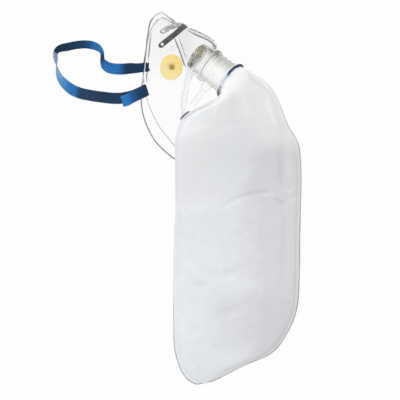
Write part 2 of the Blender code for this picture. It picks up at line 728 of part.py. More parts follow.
def section_loop(station, neck, side, axis):
    """Pillow section between the two welds, placed from the neck and leaning as it does there."""
    points = []
    for x, y, z in (station[0:3], station[3:6]):
        points.append(Vector((neck.x + 0.01 * x * BAG_WIDTH, neck.y + 0.01 * y * BAG_LENGTH,
                              0.01 * z * neck.z)))
    left, right = points
    full = 0.01 * station[6] * BAG_FULLNESS
    middle = (left + right) / 2
    half = (right - left) / 2
    up = Vector((0.0, 0.0, 1.0)).lerp(side, 0.01 * station[7]).normalized()
    loop = []
    for i in range(BAG_SIDES):
        angle = 2 * math.pi * i / BAG_SIDES
        rise = math.sin(angle)
        share = 1 - BAG_UNDERSIDE if rise > 0 else BAG_UNDERSIDE
        place = middle + half * math.cos(angle) + rise * share * full * up
        place += axis * rise * rise * 0.01 * station[8] * BAG_WIDTH
        place.z = max(place.z, TABLE)
        loop.append(place)
    return loop


def make_bag(world_port, look):
    side = world_port.to_3x3() @ SIDE
    across = world_port.to_3x3() @ PORT_UP
    axis = world_port.to_3x3() @ AXIS
    mouth = Matrix((across, side, axis)).transposed().to_4x4()
    mouth.translation = world_port @ PORT_CENTRE
    inner = BAG_SPIGOT_RADIUS + FIT
    outer = inner + FILM
    edge = BAG_SPIGOT_START + NECK_COLLAR
    deep = BAG_SPIGOT_START + BAG_SPIGOT_LENGTH + FIT
    loops = [mouth_loop(mouth, inner, deep), mouth_loop(mouth, inner, edge),
             mouth_loop(mouth, outer, edge),
             mouth_loop(mouth, outer, edge + 2 * NECK_COLLAR + BAND_WIDTH)]
    neck = mouth @ Vector((0.0, 0.0, deep))
    for station in smooth_line(BAG_STATIONS, BAG_STEPS):
        loops.append(section_loop(station, neck, side, axis))
    bag = add_object("reservoir_bag", loops_to_mesh(loops), look)
    band_look = material("blue_band", BLUE_BAND)
    ring = band_ring(mouth, outer + FIT, BAND_WIDTH, BAND_THICKNESS, edge + NECK_COLLAR)
    band = add_object("neck_band", ring, band_look)
    return bag, band


# Head strap

def ribbon(points, widths, width, thickness):
    """Strip with a rectangular section along points, flat across the given directions."""
    loops = []
    last = len(points) - 1
    for i, place in enumerate(points):
        along = (points[min(i + 1, last)] - points[max(i - 1, 0)]).normalized()
        across = widths[i] - widths[i].dot(along) * along
        across.normalize()
        out = along.cross(across)
        a = across * 0.5 * width
        t = out * 0.5 * thickness
        loops.append([place + a + t, place - a + t, place - a - t, place + a - t])
    return loops_to_mesh(loops)


def strap_point(row, ear):
    """Place and width direction of a row, kept clear of the table."""
    back, across, up = (0.01 * share for share in row[0:3])
    way = Vector(row[3:6]).normalized()
    lowest = TABLE + STRAP_OFF_TABLE + 0.5 * STRAP_WIDTH * abs(way.z)
    height = max(up * ear.z, lowest)
    return Vector((ear.x - back * STRAP_REACH, ear.y + across * STRAP_SPREAD, height)), way


def slot_pass(slot, rows, way):
    """Places in a slot's own frame: towards the edge of the rim, and out of the skin."""
    outward = 1.0 if slot.to_3x3().col[1].x < 0 else -1.0
    unit = 0.01 * STRAP_WIDTH
    return [(slot @ Vector((0.0, outward * edge * unit, out * unit)), way) for edge, out in rows]


def strap_route(right_slot, left_slot):
    """Places and width directions from the free tail to the end in the left slot."""
    ear = right_slot.translation
    right_way = right_slot.to_3x3().col[0].normalized()
    left_way = left_slot.to_3x3().col[0].normalized()
    rows = [strap_point(row, ear) for row in STRAP_TAIL]
    rows += slot_pass(right_slot, RIGHT_PASS, right_way)
    rows += [strap_point(row, ear) for row in STRAP_RUN]
    rows += slot_pass(left_slot, LEFT_PASS, left_way)
    return rows


def make_strap(mask_matrix, tree, look):
    rows = strap_route(mask_matrix @ slot_frame(tree, True), mask_matrix @ slot_frame(tree, False))
    line = spaced_line([tuple(p) + tuple(d.normalized()) for p, d in rows], STRAP_STEPS)
    points = [Vector(row[0:3]) for row in line]
    widths = [Vector(row[3:6]) for row in line]
    return add_object("head_strap", ribbon(points, widths, STRAP_WIDTH, STRAP_THICKNESS), look,
                      smooth=False)


def main():
    clear_scene()
    mask_frame = bpy.data.objects.new("mask_frame", None)
    bpy.context.scene.collection.objects.link(mask_frame)
    turn = Euler((MASK_ROLL, MASK_PITCH, MASK_TURN), "XYZ")
    rings, _ = shell_rings()
    lowest = min((turn.to_matrix() @ point).z for ring in rings for point in ring)
    mask_frame.location = (MASK_X, MASK_Y, MASK_OFF_TABLE - lowest)
    mask_frame.rotation_euler = turn
    bpy.context.view_layer.update()
    place = mask_frame.matrix_world.copy()

    vinyl = material("clear_vinyl", CLEAR_VINYL)
    rigid = material("clear_rigid_plastic", CLEAR_RIGID)
    shell, tree = make_shell(vinyl, mask_frame)
    make_clip(tree, material("aluminium", ALUMINIUM), mask_frame, shell)
    make_exhalation_flap(tree, material("yellow_silicone", YELLOW_SILICONE), mask_frame)
    make_connector(rigid, mask_frame)
    make_inlet_valve(rigid, material("tan_silicone", TAN_SILICONE), mask_frame)
    make_bag(place, material("white_film", WHITE_FILM))
    make_strap(place, tree, material("blue_elastic", BLUE_ELASTIC))


main()
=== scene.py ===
"""Oxygen face mask with a reservoir bag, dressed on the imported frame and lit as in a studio."""
import math

import bpy
import bmesh
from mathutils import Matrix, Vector, noise


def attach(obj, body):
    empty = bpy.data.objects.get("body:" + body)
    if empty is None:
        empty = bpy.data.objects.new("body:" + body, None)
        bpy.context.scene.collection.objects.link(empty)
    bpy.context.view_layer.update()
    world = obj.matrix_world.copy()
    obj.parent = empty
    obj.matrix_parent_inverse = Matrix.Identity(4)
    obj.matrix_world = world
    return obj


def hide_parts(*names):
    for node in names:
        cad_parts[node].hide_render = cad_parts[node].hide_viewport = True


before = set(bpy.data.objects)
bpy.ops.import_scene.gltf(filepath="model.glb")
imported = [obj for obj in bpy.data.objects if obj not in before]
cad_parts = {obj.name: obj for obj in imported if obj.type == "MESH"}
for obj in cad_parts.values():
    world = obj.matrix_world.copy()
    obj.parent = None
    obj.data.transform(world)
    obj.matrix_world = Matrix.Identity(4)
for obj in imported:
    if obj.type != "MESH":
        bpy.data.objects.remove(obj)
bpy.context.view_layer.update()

# Lengths are in metres; MM turns millimetres into them.
MM = 0.001
EAST, NORTH, UP = (1, 0, 0), (0, 1, 0), (0, 0, 1)

# How the photograph's frame lies over the scene
IMAGE = 400
PIXEL = 0.893 * MM                  # width of the scene that one pixel shows, at MID_HEIGHT
MID_HEIGHT = 30 * MM
CAMERA_HEIGHT = 4.0
SENSOR = 36.0
CENTRE = Vector((20.1, -0.45, 0.0)) * MM
ORIGIN_X, ORIGIN_Y = 177.5, 199.5   # pixel that the scene's origin shows at

# Light
SKY = 0.86
KEY_POWER = 5.0
KEY_PLACE = (-0.5, 0.9, 1.4)
KEY_SIZE = 0.5
HORIZON = (0.22, 0.22, 0.23)        # what gloss and glass see low down, which draws clear edges
FLOOR_GREY = 0.84
FLOOR_WHITE_SHARE = 0.95
FLOOR_HALF = 3.0
FLOOR_DROP = 0.3 * MM


# Camera

def make_camera():
    data = bpy.data.cameras.new("camera")
    data.sensor_width = SENSOR
    data.lens = SENSOR * (CAMERA_HEIGHT - MID_HEIGHT) / (IMAGE * PIXEL)
    data.clip_end = 20.0
    camera = bpy.data.objects.new("camera", data)
    camera.location = (CENTRE.x, CENTRE.y, CAMERA_HEIGHT)
    bpy.context.scene.collection.objects.link(camera)
    bpy.context.scene.camera = camera


def growth(height):
    """How much larger things look at a height than at MID_HEIGHT."""
    return (CAMERA_HEIGHT - MID_HEIGHT) / (CAMERA_HEIGHT - height)


def to_pixel(place):
    """Where a place shows in the photograph's frame."""
    grow = growth(place.z)
    return Vector((ORIGIN_X + (CENTRE.x + (place.x - CENTRE.x) * grow) / PIXEL,
                   ORIGIN_Y - (CENTRE.y + (place.y - CENTRE.y) * grow) / PIXEL))


def from_pixel(px, py, height):
    """The place at a height that shows at a pixel, as x and y."""
    grow = growth(height)
    return (CENTRE.x + ((px - ORIGIN_X) * PIXEL - CENTRE.x) / grow,
            CENTRE.y + ((ORIGIN_Y - py) * PIXEL - CENTRE.y) / grow)


# Materials: each helper adds nodes to a tree and returns the socket of its result

def nodes_of(material):
    """Empties the node tree of a material or of the world."""
    material.use_nodes = True
    tree = material.node_tree
    tree.nodes.clear()
    return tree


def link(tree, source, target):
    tree.links.new(source, target)


def maths(tree, operation, *values):
    """One operation on numbers or sockets."""
    made = tree.nodes.new("ShaderNodeMath")
    made.operation = operation
    for value, socket in zip(values, made.inputs):
        if isinstance(value, (int, float)):
            socket.default_value = value
        else:
            link(tree, value, socket)
    return made.outputs[0]


def product(tree, *values):
    """All the values multiplied."""
    total = values[0]
    for value in values[1:]:
        total = maths(tree, "MULTIPLY", total, value)
    return total


def spread(tree, value, start, end, low=0.0, high=1.0):
    """Turns the range from start to end into the one from low to high, and ends there."""
    made = tree.nodes.new("ShaderNodeMapRange")
    for name, number in zip(("From Min", "From Max", "To Min", "To Max"), (start, end, low, high)):
        made.inputs[name].default_value = number
    link(tree, value, made.inputs["Value"])
    return made.outputs[0]


def place_on(tree):
    """Object coordinates of the surface."""
    return tree.nodes.new("ShaderNodeTexCoord").outputs["Object"]


def along(tree, way):
    """How far the surface lies along a direction."""
    made = tree.nodes.new("ShaderNodeVectorMath")
    made.operation = "DOT_PRODUCT"
    made.inputs[1].default_value = way
    link(tree, place_on(tree), made.inputs[0])
    return made.outputs["Value"]


def reach(tree, way, start, end):
    """Goes from 0 to 1 between two places along a direction."""
    return spread(tree, along(tree, way), start, end)


def attribute(tree, name):
    """A number that the mesh carries at its points."""
    made = tree.nodes.new("ShaderNodeAttribute")
    made.attribute_name = name
    return made.outputs["Fac"]


def mapped(tree, **values):
    """Object coordinates, turned or stretched."""
    made = tree.nodes.new("ShaderNodeMapping")
    for name, value in values.items():
        made.inputs[name].default_value = value
    link(tree, place_on(tree), made.inputs["Vector"])
    return made.outputs[0]


def cloud(tree, scale, detail, place=None):
    """Noise over the surface."""
    made = tree.nodes.new("ShaderNodeTexNoise")
    made.inputs["Scale"].default_value = scale
    made.inputs["Detail"].default_value = detail
    link(tree, place or place_on(tree), made.inputs["Vector"])
    return made.outputs[0]


def blend(tree, share, first, second):
    """Mixes two colours, each a socket or three numbers."""
    made = tree.nodes.new("ShaderNodeMix")
    made.data_type = "RGBA"
    for name, colour in (("A", first), ("B", second)):
        if isinstance(colour, tuple):
            made.inputs[name].default_value = (*colour, 1)
        else:
            link(tree, colour, made.inputs[name])
    link(tree, share, made.inputs["Factor"])
    return made.outputs["Result"]


def ramp(tree, source, stops):
    """Colour from a number, by stops of place and colour."""
    made = tree.nodes.new("ShaderNodeValToRGB")
    bar = made.color_ramp
    while len(bar.elements) < len(stops):
        bar.elements.new(0.5)
    for element, (at, colour) in zip(bar.elements, stops):
        element.position = at
        element.color = (*colour, 1)
    link(tree, source, made.inputs["Fac"])
    return made.outputs["Color"]


def any_ray(tree, *kinds):
    """1 for the rays of these kinds."""
    path = tree.nodes.new("ShaderNodeLightPath")
    share = path.outputs[kinds[0]]
    for kind in kinds[1:]:
        share = maths(tree, "MAXIMUM", share, path.outputs[kind])
    return share


def mix_surfaces(tree, share, first, second, out):
    """Joins two shaders by a share, to an output."""
    made = tree.nodes.new("ShaderNodeMixShader")
    link(tree, share, made.inputs["Fac"])
    link(tree, first.outputs[0], made.inputs[1])
    link(tree, second.outputs[0], made.inputs[2])
    link(tree, made.outputs[0], out.inputs["Surface"])


# Materials: the shader, and helpers that change its colour or its surface

def principled(name, colour, roughness, **values):
    """A material, its tree and its shader, with constants on the shader's own sockets."""
    look = bpy.data.materials.new(name)
    tree = nodes_of(look)
    out = tree.nodes.new("ShaderNodeOutputMaterial")
    shader = tree.nodes.new("ShaderNodeBsdfPrincipled")
    shader.inputs["Base Color"].default_value = (*colour, 1)
    shader.inputs["Roughness"].default_value = roughness
    for socket, value in values.items():
        shader.inputs[socket.replace("_", " ")].default_value = value
    link(tree, shader.outputs[0], out.inputs["Surface"])
    return look, tree, shader


def paint(tree, shader, colour):
    link(tree, colour, shader.inputs["Base Color"])


def painted(shader):
    """The socket that gives the shader's colour so far."""
    return shader.inputs["Base Color"].links[0].from_socket


def tint(tree, shader, source, stops):
    """Colour from a ramp over a number of the surface."""
    paint(tree, shader, ramp(tree, source, stops))


def paler(tree, shader, share, colour):
    """Blends a colour over the material's own by a share."""
    paint(tree, shader, blend(tree, share, painted(shader), colour))


def scaled(tree, shader, gain):
    """Multiplies the material's colour by a number of the surface."""
    made = tree.nodes.new("ShaderNodeVectorMath")
    made.operation = "SCALE"
    link(tree, painted(shader), made.inputs[0])
    link(tree, gain, made.inputs["Scale"])
    paint(tree, shader, made.outputs[0])


def edge_colour(tree, shader, middle, edge, power):
    """Glass whose colour darkens where it is seen edge-on: painted shade for the dark edges of
    clear plastic.
    """
    weight = tree.nodes.new("ShaderNodeLayerWeight")
    weight.inputs["Blend"].default_value = 0.5
    raised = maths(tree, "POWER", weight.outputs["Facing"], power)
    paint(tree, shader, blend(tree, raised, middle, edge))


def bump(tree, shader, height, strength, distance):
    """Uneven surface; returns its node."""
    made = tree.nodes.new("ShaderNodeBump")
    made.inputs["Strength"].default_value = strength
    made.inputs["Distance"].default_value = distance
    link(tree, height, made.inputs["Height"])
    link(tree, made.outputs[0], shader.inputs["Normal"])
    return made


def grain(tree, shader, scale, strength, distance, stretch=(1, 1, 1)):
    """Fine uneven surface from noise; returns the noise."""
    height = cloud(tree, scale, 3.0, mapped(tree, Scale=stretch))
    bump(tree, shader, height, strength, distance)
    return height


# Floor and light

def make_floor():
    """Pale table that shows white to the camera and in glass, and still takes the shadow."""
    mesh = bpy.data.meshes.new("floor")
    half = FLOOR_HALF
    mesh.from_pydata([(-half, -half, 0), (half, -half, 0), (half, half, 0), (-half, half, 0)], [],
                     [(0, 1, 2, 3)])
    floor = bpy.data.objects.new("floor", mesh)
    floor.location.z = -FLOOR_DROP
    bpy.context.scene.collection.objects.link(floor)
    look = bpy.data.materials.new("floor_white")
    tree = nodes_of(look)
    matt = tree.nodes.new("ShaderNodeBsdfDiffuse")
    matt.inputs["Color"].default_value = (FLOOR_GREY, FLOOR_GREY, FLOOR_GREY, 1)
    white = tree.nodes.new("ShaderNodeEmission")
    white.inputs["Strength"].default_value = 1.0
    seen = any_ray(tree, "Is Camera Ray", "Is Transmission Ray", "Is Glossy Ray")
    mix_surfaces(tree, product(tree, seen, FLOOR_WHITE_SHARE), matt, white,
                 tree.nodes.new("ShaderNodeOutputMaterial"))
    mesh.materials.append(look)


def make_light():
    """Even white sky with a darker horizon for gloss and glass, and a soft key lamp."""
    world = bpy.data.worlds.new("studio")
    bpy.context.scene.world = world
    tree = nodes_of(world)
    even = tree.nodes.new("ShaderNodeBackground")
    even.inputs["Color"].default_value = (1, 1, 1, 1)
    even.inputs["Strength"].default_value = SKY
    dark = tree.nodes.new("ShaderNodeBackground")
    dark.inputs["Strength"].default_value = 1.0
    split = tree.nodes.new("ShaderNodeSeparateXYZ")
    link(tree, tree.nodes.new("ShaderNodeTexCoord").outputs["Generated"], split.inputs[0])
    link(tree, ramp(tree, split.outputs["Z"], ((0.0, HORIZON), (0.5, (1, 1, 1)))),
         dark.inputs["Color"])
    mix_surfaces(tree, any_ray(tree, "Is Glossy Ray", "Is Transmission Ray"), even, dark,
                 tree.nodes.new("ShaderNodeOutputWorld"))
    data = bpy.data.lights.new("key", "AREA")
    data.shape = "DISK"
    data.size = KEY_SIZE
    data.energy = KEY_POWER
    lamp = bpy.data.objects.new("key", data)
    lamp.location = KEY_PLACE
    lamp.rotation_euler = (-Vector(KEY_PLACE)).to_track_quat("-Z", "Y").to_euler()
    bpy.context.scene.collection.objects.link(lamp)


# Mesh code

def mesh_object(name, vertices, faces):
    mesh = bpy.data.meshes.new(name)
    mesh.from_pydata([tuple(v) for v in vertices], [], faces)
    mesh.validate()
    tidy = bmesh.new()
    tidy.from_mesh(mesh)
    bmesh.ops.recalc_face_normals(tidy, faces=tidy.faces)
    tidy.to_mesh(mesh)
    tidy.free()
    mesh.shade_smooth()
    thing = bpy.data.objects.new(name, mesh)
    bpy.context.scene.collection.objects.link(thing)
    return thing


def loops_to_mesh(loops):
    """Faces between loops of as many points each."""
    size = len(loops[0])
    vertices = [point for loop in loops for point in loop]
    faces = []
    for k in range(len(loops) - 1):
        for j in range(size):
            nxt = (j + 1) % size
            faces.append((k * size + j, k * size + nxt, (k + 1) * size + nxt, (k + 1) * size + j))
    return vertices, faces


def ring_object(name, loops):
    """A piece whose last loop joins its first."""
    vertices, faces = loops_to_mesh(loops + loops[:1])
    size = len(vertices) - len(loops[0])
    return mesh_object(name, vertices[:size], [tuple(v % size for v in face) for face in faces])


def capped_object(name, loops):
    """A piece with a face on its first loop and on its last."""
    vertices, faces = loops_to_mesh(loops)
    size = len(loops[0])
    faces.append(tuple(reversed(range(size))))
    faces.append(tuple(range(len(vertices) - size, len(vertices))))
    return mesh_object(name, vertices, faces)


def catmull(four, t):
    """Point between the middle two of four points of any dimension."""
    return tuple(0.5 * (2 * b + (c - a) * t + (2 * a - 5 * b + 4 * c - d) * t ** 2
                        + (3 * b - a - 3 * c + d) * t ** 3) for a, b, c, d in zip(*four))


def smooth_line(points, steps):
    """Curve through points of any dimension."""
    line = []
    last = len(points) - 1
    for i in range(last):
        four = points[max(i - 1, 0)], points[i], points[i + 1], points[min(i + 2, last)]
        line.extend(catmull(four, step / steps) for step in range(steps))
    line.append(tuple(points[-1]))
    return line


def smooth_ring(points, steps):
    """Closed curve through points of any dimension."""
    count = len(points)
    return [catmull([points[(i + k) % count] for k in (-1, 0, 1, 2)], step / steps)
            for i in range(count) for step in range(steps)]


def tube(name, points, radii, look, closed=False, sides=8):
    """Round bead along points, with a radius for each. An open one is thinner at its ends."""
    loops = []
    count = len(points)
    for i, (place, radius) in enumerate(zip(points, radii)):
        if closed:
            run = points[(i + 1) % count] - points[i - 1]
        else:
            run = points[min(i + 1, count - 1)] - points[max(i - 1, 0)]
            radius *= min(1.0, 0.25 + 4.0 * min(i, count - 1 - i) / (count - 1))
        run.normalize()
        side = run.cross(Vector((0.13, 0.07, 1.0))).normalized()
        up = side.cross(run)
        loops.append([place + (side * math.cos(2 * math.pi * j / sides)
                               + up * math.sin(2 * math.pi * j / sides)) * radius
                      for j in range(sides)])
    thing = ring_object(name, loops) if closed else capped_object(name, loops)
    thing.data.materials.append(look)
    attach(thing, "root")


# Looks of the pieces that stay as the CAD made them

def vinyl_look():
    """Clear soft plastic, clearer below, with a grey lilac cheek panel and a slight haze."""
    look, tree, shader = principled("vinyl", (1, 1, 1), 0.08, Transmission_Weight=1.0, IOR=1.06)
    edge_colour(tree, shader, (0.99, 0.99, 0.99), (0.38, 0.39, 0.41), 3.5)
    lower = reach(tree, NORTH, 0.124, 0.116)
    paler(tree, shader, product(tree, lower, 0.75), (0.992, 0.993, 0.992))
    panel = product(tree, reach(tree, EAST, 0.0, 0.003), reach(tree, EAST, 0.018, 0.009),
                    reach(tree, NORTH, 0.118, 0.127))
    paler(tree, shader, product(tree, panel, 0.6), (0.925, 0.912, 0.92))
    scaled(tree, shader, spread(tree, along(tree, NORTH), 0.105, 0.135, 1.0, 0.965))
    grain(tree, shader, 40.0, 0.05, 0.3 * MM)
    return look


def rigid_look():
    """Clear moulded plastic, with painted shade along its top, and a dark line at its upper edge.
    """
    look, tree, shader = principled("rigid", (1, 1, 1), 0.28, Transmission_Weight=1.0, IOR=1.12)
    edge_colour(tree, shader, (0.995, 0.995, 0.99), (0.50, 0.51, 0.47), 2.6)
    across = (0.54, 0.84, 0)            # over the connector, square to its axis as seen from above
    # Painted shade: greyer along the top of the connector.
    upper = product(tree, reach(tree, across, 0.117, 0.127), reach(tree, EAST, 0.024, 0.030))
    paler(tree, shader, product(tree, upper, 0.9), (0.74, 0.75, 0.70))
    line = product(tree, reach(tree, across, 0.1258, 0.1272), reach(tree, EAST, 0.0275, 0.0300),
                   reach(tree, EAST, 0.0385, 0.0360))
    paler(tree, shader, product(tree, line, 0.85), (0.25, 0.24, 0.20))
    grain(tree, shader, 90.0, 0.15, 0.3 * MM)
    return look


def fade_out(tree, shader, clear):
    """The inner valve fades to clear towards the chin and the face."""
    paler(tree, shader, reach(tree, NORTH, 0.1285, 0.1225), clear)
    paler(tree, shader, reach(tree, EAST, 0.0185, 0.0125), clear)


def inner_disc_look():
    look, tree, shader = principled("tan", (0.82, 0.74, 0.55), 0.5)
    tint(tree, shader, grain(tree, shader, 300.0, 0.2, 0.2 * MM),
         ((0.35, (0.78, 0.69, 0.50)), (0.65, (0.88, 0.80, 0.60))))
    fade_out(tree, shader, (0.98, 0.97, 0.95))
    return look


def inner_seat_look():
    look, tree, shader = principled("tan_clear", (1, 1, 1), 0.25, Transmission_Weight=0.75,
                                    IOR=1.12)
    edge_colour(tree, shader, (0.97, 0.94, 0.84), (0.70, 0.63, 0.48), 2.5)
    grain(tree, shader, 90.0, 0.15, 0.3 * MM)
    fade_out(tree, shader, (0.99, 0.985, 0.97))
    return look


def metal_look():
    """Dark embossed aluminium. The far half, seen through the shell, is paler and dull."""
    look, tree, shader = principled("clip_metal", (0.06, 0.06, 0.065), 0.5, Metallic=0.6)
    emboss = tree.nodes.new("ShaderNodeTexVoronoi")
    emboss.inputs["Scale"].default_value = 900.0
    link(tree, mapped(tree, Rotation=(0.0, 0.0, math.radians(43))), emboss.inputs["Vector"])
    cells = emboss.outputs["Distance"]
    relief = bump(tree, shader, cells, 0.9, 0.4 * MM)
    tint(tree, shader, cells, ((0.1, (0.015, 0.015, 0.016)), (0.75, (0.15, 0.15, 0.155))))
    far = reach(tree, UP, 0.0655, 0.060)
    paler(tree, shader, far, (0.8, 0.8, 0.81))
    metal = maths(tree, "MULTIPLY_ADD", far, -0.6, 0.6)
    link(tree, metal, shader.inputs["Metallic"])
    link(tree, product(tree, metal, 1.5), relief.inputs["Strength"])
    return look


def dress_cad():
    looks = {"mask_shell": vinyl_look(), "connector_body": rigid_look(),
             "inlet_valve_seat": inner_seat_look(), "inlet_valve_flap": inner_disc_look(),
             "nose_clip": metal_look()}
    for node, look in looks.items():
        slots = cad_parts[node].data.materials
        slots.clear()
        slots.append(look)


# Beads and creases of the shell

RIM = [
    # the rolled edge of the mask in mm, from the nose over the near cheek to the chin and back
    (-2.1, 154.3, 62.4), (-13.6, 160.3, 74.3), (-23.4, 149.2, 82.0), (-26.9, 132.4, 87.2),
    (-28.8, 114.9, 90.7), (-31.3, 97.1, 91.7), (-30.9, 79.7, 87.6), (-26.4, 64.3, 79.6),
    (-18.9, 51.0, 70.1), (-8.5, 40.6, 59.8), (1.5, 33.9, 46.6), (7.6, 32.4, 30.1),
    (1.8, 41.9, 16.4), (-8.0, 54.4, 8.1), (-18.3, 68.5, 4.2), (-25.7, 84.8, 2.4),
    (-30.2, 102.2, 3.0), (-30.5, 119.4, 8.0), (-28.2, 134.3, 17.8), (-26.4, 147.7, 29.6),
    (-23.1, 159.8, 42.5), (-13.4, 165.5, 54.8),
]
CREASES = [
    # lines of the moulding seen from above, in pixels, with their radius in mm, drawn as grey
    # beads of painted shade
    ([(174.3, 38), (175.8, 41.5), (178, 47), (180.3, 53), (183.2, 61.5), (186.2, 68)], 0.62),
    ([(178.3, 36.5), (181.5, 45), (184.3, 53.5), (187, 60)], 0.26),
    ([(187.8, 30.6), (195, 34.4), (203, 37.9), (208, 40.2), (212, 42.8), (214.8, 46.5),
      (215.4, 49)], 0.68),
]
BEAD_THIN = 0.24                    # radius of the rim's bead in mm, and how much it swells
BEAD_SWELL = 0.38
RIM_CROWN = 45 * MM                 # the near side of the rim is higher than this
RIM_TURN = 105 * MM                 # the bead changes here along y, over RIM_FADE
RIM_FADE = 18 * MM
CURVE_STEPS = 8
CREASE_STEPS = 6
SKIN_START = 60 * MM                # first guess of the skin's height under a pixel
SKIN_TRIES = 4
SKIN_LIFT = 0.1 * MM
RAY_START = 0.3


def on_shell(px, py):
    """Point of the shell's upper skin under a pixel of the photograph, or None."""
    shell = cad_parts["mask_shell"]
    height = SKIN_START
    for _ in range(SKIN_TRIES):
        x, y = from_pixel(px, py, height)
        hit, place, normal, _ = shell.ray_cast(Vector((x, y, RAY_START)), Vector((0, 0, -1)))
        if not hit:
            return None
        height = place.z
    return place + normal * SKIN_LIFT


def make_beads():
    """The rolled rim, thick near the chin on the near side and at the nose on the far one, and the
    creases of the moulding, in a grey that is painted shade: the dark lines that the clear plastic
    shows along them.
    """
    look, tree, shader = principled("moulded_edge_shade", (0.3, 0.31, 0.33), 0.15,
                                    Transmission_Weight=0.3, IOR=1.3)
    tint(tree, shader, grain(tree, shader, 80.0, 0.2, 0.3 * MM),
         ((0.3, (0.24, 0.25, 0.27)), (0.7, (0.44, 0.45, 0.47))))
    line = [Vector(place) * MM for place in smooth_ring(RIM, CURVE_STEPS)]
    radii = []
    for place in line:
        way = -1 if place.z > RIM_CROWN else 1
        share = min(max((place.y - RIM_TURN) / RIM_FADE * way + 0.5, 0.0), 1.0)
        radii.append((BEAD_THIN + BEAD_SWELL * share) * MM)
    tube("rim_edge", line, radii, look, closed=True)
    for number, (pixels, radius) in enumerate(CREASES):
        line = [on_shell(*pair) for pair in smooth_line(pixels, CREASE_STEPS)]
        line = [place for place in line if place]
        tube(f"moulded_crease_{number}", line, [radius * MM] * len(line), look)


# Exhalation valve

VALVE = Vector((-5.48, 116.85, 84.87)) * MM
VALVE_OUT = Vector((0.29863, -0.00644, 0.95435))
FLAP_RADIUS = 11.35
FLAP_SIDES = 72
KNOB_SIDES = 32
FLAP_PROFILE = [
    # radius and height in mm, from the hub under the disc to its edge and back over its ridges
    (1.75, 0.35), (3.0, 0.35), (6.0, 0.35), (9.0, 0.4), (11.0, 0.45), (11.35, 0.75),
    (11.1, 1.15), (10.4, 1.2), (9.7, 1.15), (9.0, 1.7), (8.3, 1.15), (7.2, 1.1),
    (6.4, 1.6), (5.6, 1.1), (4.6, 1.1), (4.0, 1.6), (3.3, 1.25), (2.6, 1.9), (1.75, 1.9),
]
KNOB_PROFILE = [(1.0, 1.95), (2.1, 1.95), (2.4, 2.4), (2.35, 3.2), (1.9, 3.8), (1.0, 4.05)]


def make_flap():
    """Egg-shaped silicone disc with ring ridges, waved at its edge, and its knob, whose brown is
    painted shade.
    """
    up = Vector((0.25, 1.0, 0.0))
    up = (up - up.dot(VALVE_OUT) * VALVE_OUT).normalized()
    side = up.cross(VALVE_OUT)
    loops = []
    for radius, height in FLAP_PROFILE:
        outer = radius / FLAP_RADIUS
        loop = []
        for j in range(FLAP_SIDES):
            angle = 2 * math.pi * j / FLAP_SIDES
            egg = 1.0 - 0.035 * outer * (1 - math.cos(2 * angle)) - 0.03 * outer * math.cos(angle)
            lift = 0.45 * outer ** 4 * (1 + math.sin(3 * angle + 0.6))
            loop.append(VALVE + (up * math.cos(angle) * radius * egg
                                 + side * math.sin(angle) * radius * egg
                                 + VALVE_OUT * (height + lift)) * MM)
        loops.append(loop)
    look, tree, shader = principled("yellow_silicone", (0.94, 0.76, 0.34), 0.45)
    tint(tree, shader, grain(tree, shader, 150.0, 0.25, 0.3 * MM),
         ((0.3, (0.93, 0.65, 0.16)), (0.7, (0.98, 0.80, 0.33))))
    corner = reach(tree, (-0.7, -0.7, 0), -0.087, -0.071)
    paler(tree, shader, product(tree, corner, 0.55), (0.95, 0.87, 0.50))
    shader.inputs["Subsurface Weight"].default_value = 0.15
    shader.inputs["Subsurface Radius"].default_value = (2 * MM, 1.4 * MM, 0.5 * MM)
    flap = ring_object("valve_disc", loops)
    flap.data.materials.append(look)
    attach(flap, "root")
    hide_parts("exhalation_valve_flap")
    knob = []
    for radius, height in KNOB_PROFILE:
        knob.append([VALVE + (up * math.cos(a) * radius + side * math.sin(a) * radius
                              + VALVE_OUT * height) * MM
                     for a in (2 * math.pi * j / KNOB_SIDES for j in range(KNOB_SIDES))])
    # The knob is clear in the real mask: its brown is painted shade, the yellow disc seen darkened
    # through it.
    look, tree, shader = principled("knob_painted_shade", (0.33, 0.18, 0.07), 0.4)
    tint(tree, shader, grain(tree, shader, 400.0, 0.3, 0.2 * MM),
         ((0.35, (0.34, 0.19, 0.05)), (0.65, (0.58, 0.38, 0.14))))
    cap = capped_object("valve_knob", knob)
    cap.data.materials.append(look)
    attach(cap, "root")


# Neck of the connector and its band

PORT = Vector((22.443, 123.342, 54.386)) * MM       # where the connector leaves the shell
AXIS = Vector((0.76205, -0.56887, 0.3093))          # the way that the connector points
PORT_UP = Vector((0.52322, 0.82239, 0.22343))
SIDE = Vector((-0.38147, -0.00844, 0.92434))
BAND_SIDES = 120
BAND_PROFILE = [
    # radius and place along the axis, in mm
    (16.4, 31.0), (17.2, 31.05), (17.6, 31.4), (17.7, 32.1), (17.6, 32.8), (17.2, 33.15),
    (16.4, 33.2),
]


def make_band():
    """Rubber band on the bag's mouth, grey at one side, pale across its middle and dark navy at
    the other side.
    """
    loops = []
    for radius, height in BAND_PROFILE:
        loop = []
        for j in range(BAND_SIDES):
            angle = 2 * math.pi * j / BAND_SIDES
            wave = 0.12 * math.sin(7 * angle) + 0.08 * math.sin(17 * angle + 1)
            out = PORT_UP * math.cos(angle) + SIDE * math.sin(angle)
            loop.append(PORT + (AXIS * (height + wave) + out * radius) * MM)
        loops.append(loop)
    look, tree, shader = principled("band", (0.02, 0.06, 0.18), 0.6)
    shader.inputs["Specular IOR Level"].default_value = 0.2
    ragged = maths(tree, "MULTIPLY_ADD", cloud(tree, 170.0, 2.0), 0.02,
                   along(tree, (0.79, 0.6, 0.0)))
    tint(tree, shader, spread(tree, ragged, 0.088, 0.128),
         ((0.0, (0.20, 0.21, 0.22)), (0.20, (0.28, 0.29, 0.31)), (0.31, (0.80, 0.83, 0.86)),
          (0.50, (0.66, 0.74, 0.85)), (0.62, (0.04, 0.07, 0.15)), (1.0, (0.01, 0.02, 0.05))))
    band = ring_object("neck_ring", loops)
    band.data.materials.append(look)
    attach(band, "root")
    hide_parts("neck_band")


# Reservoir bag

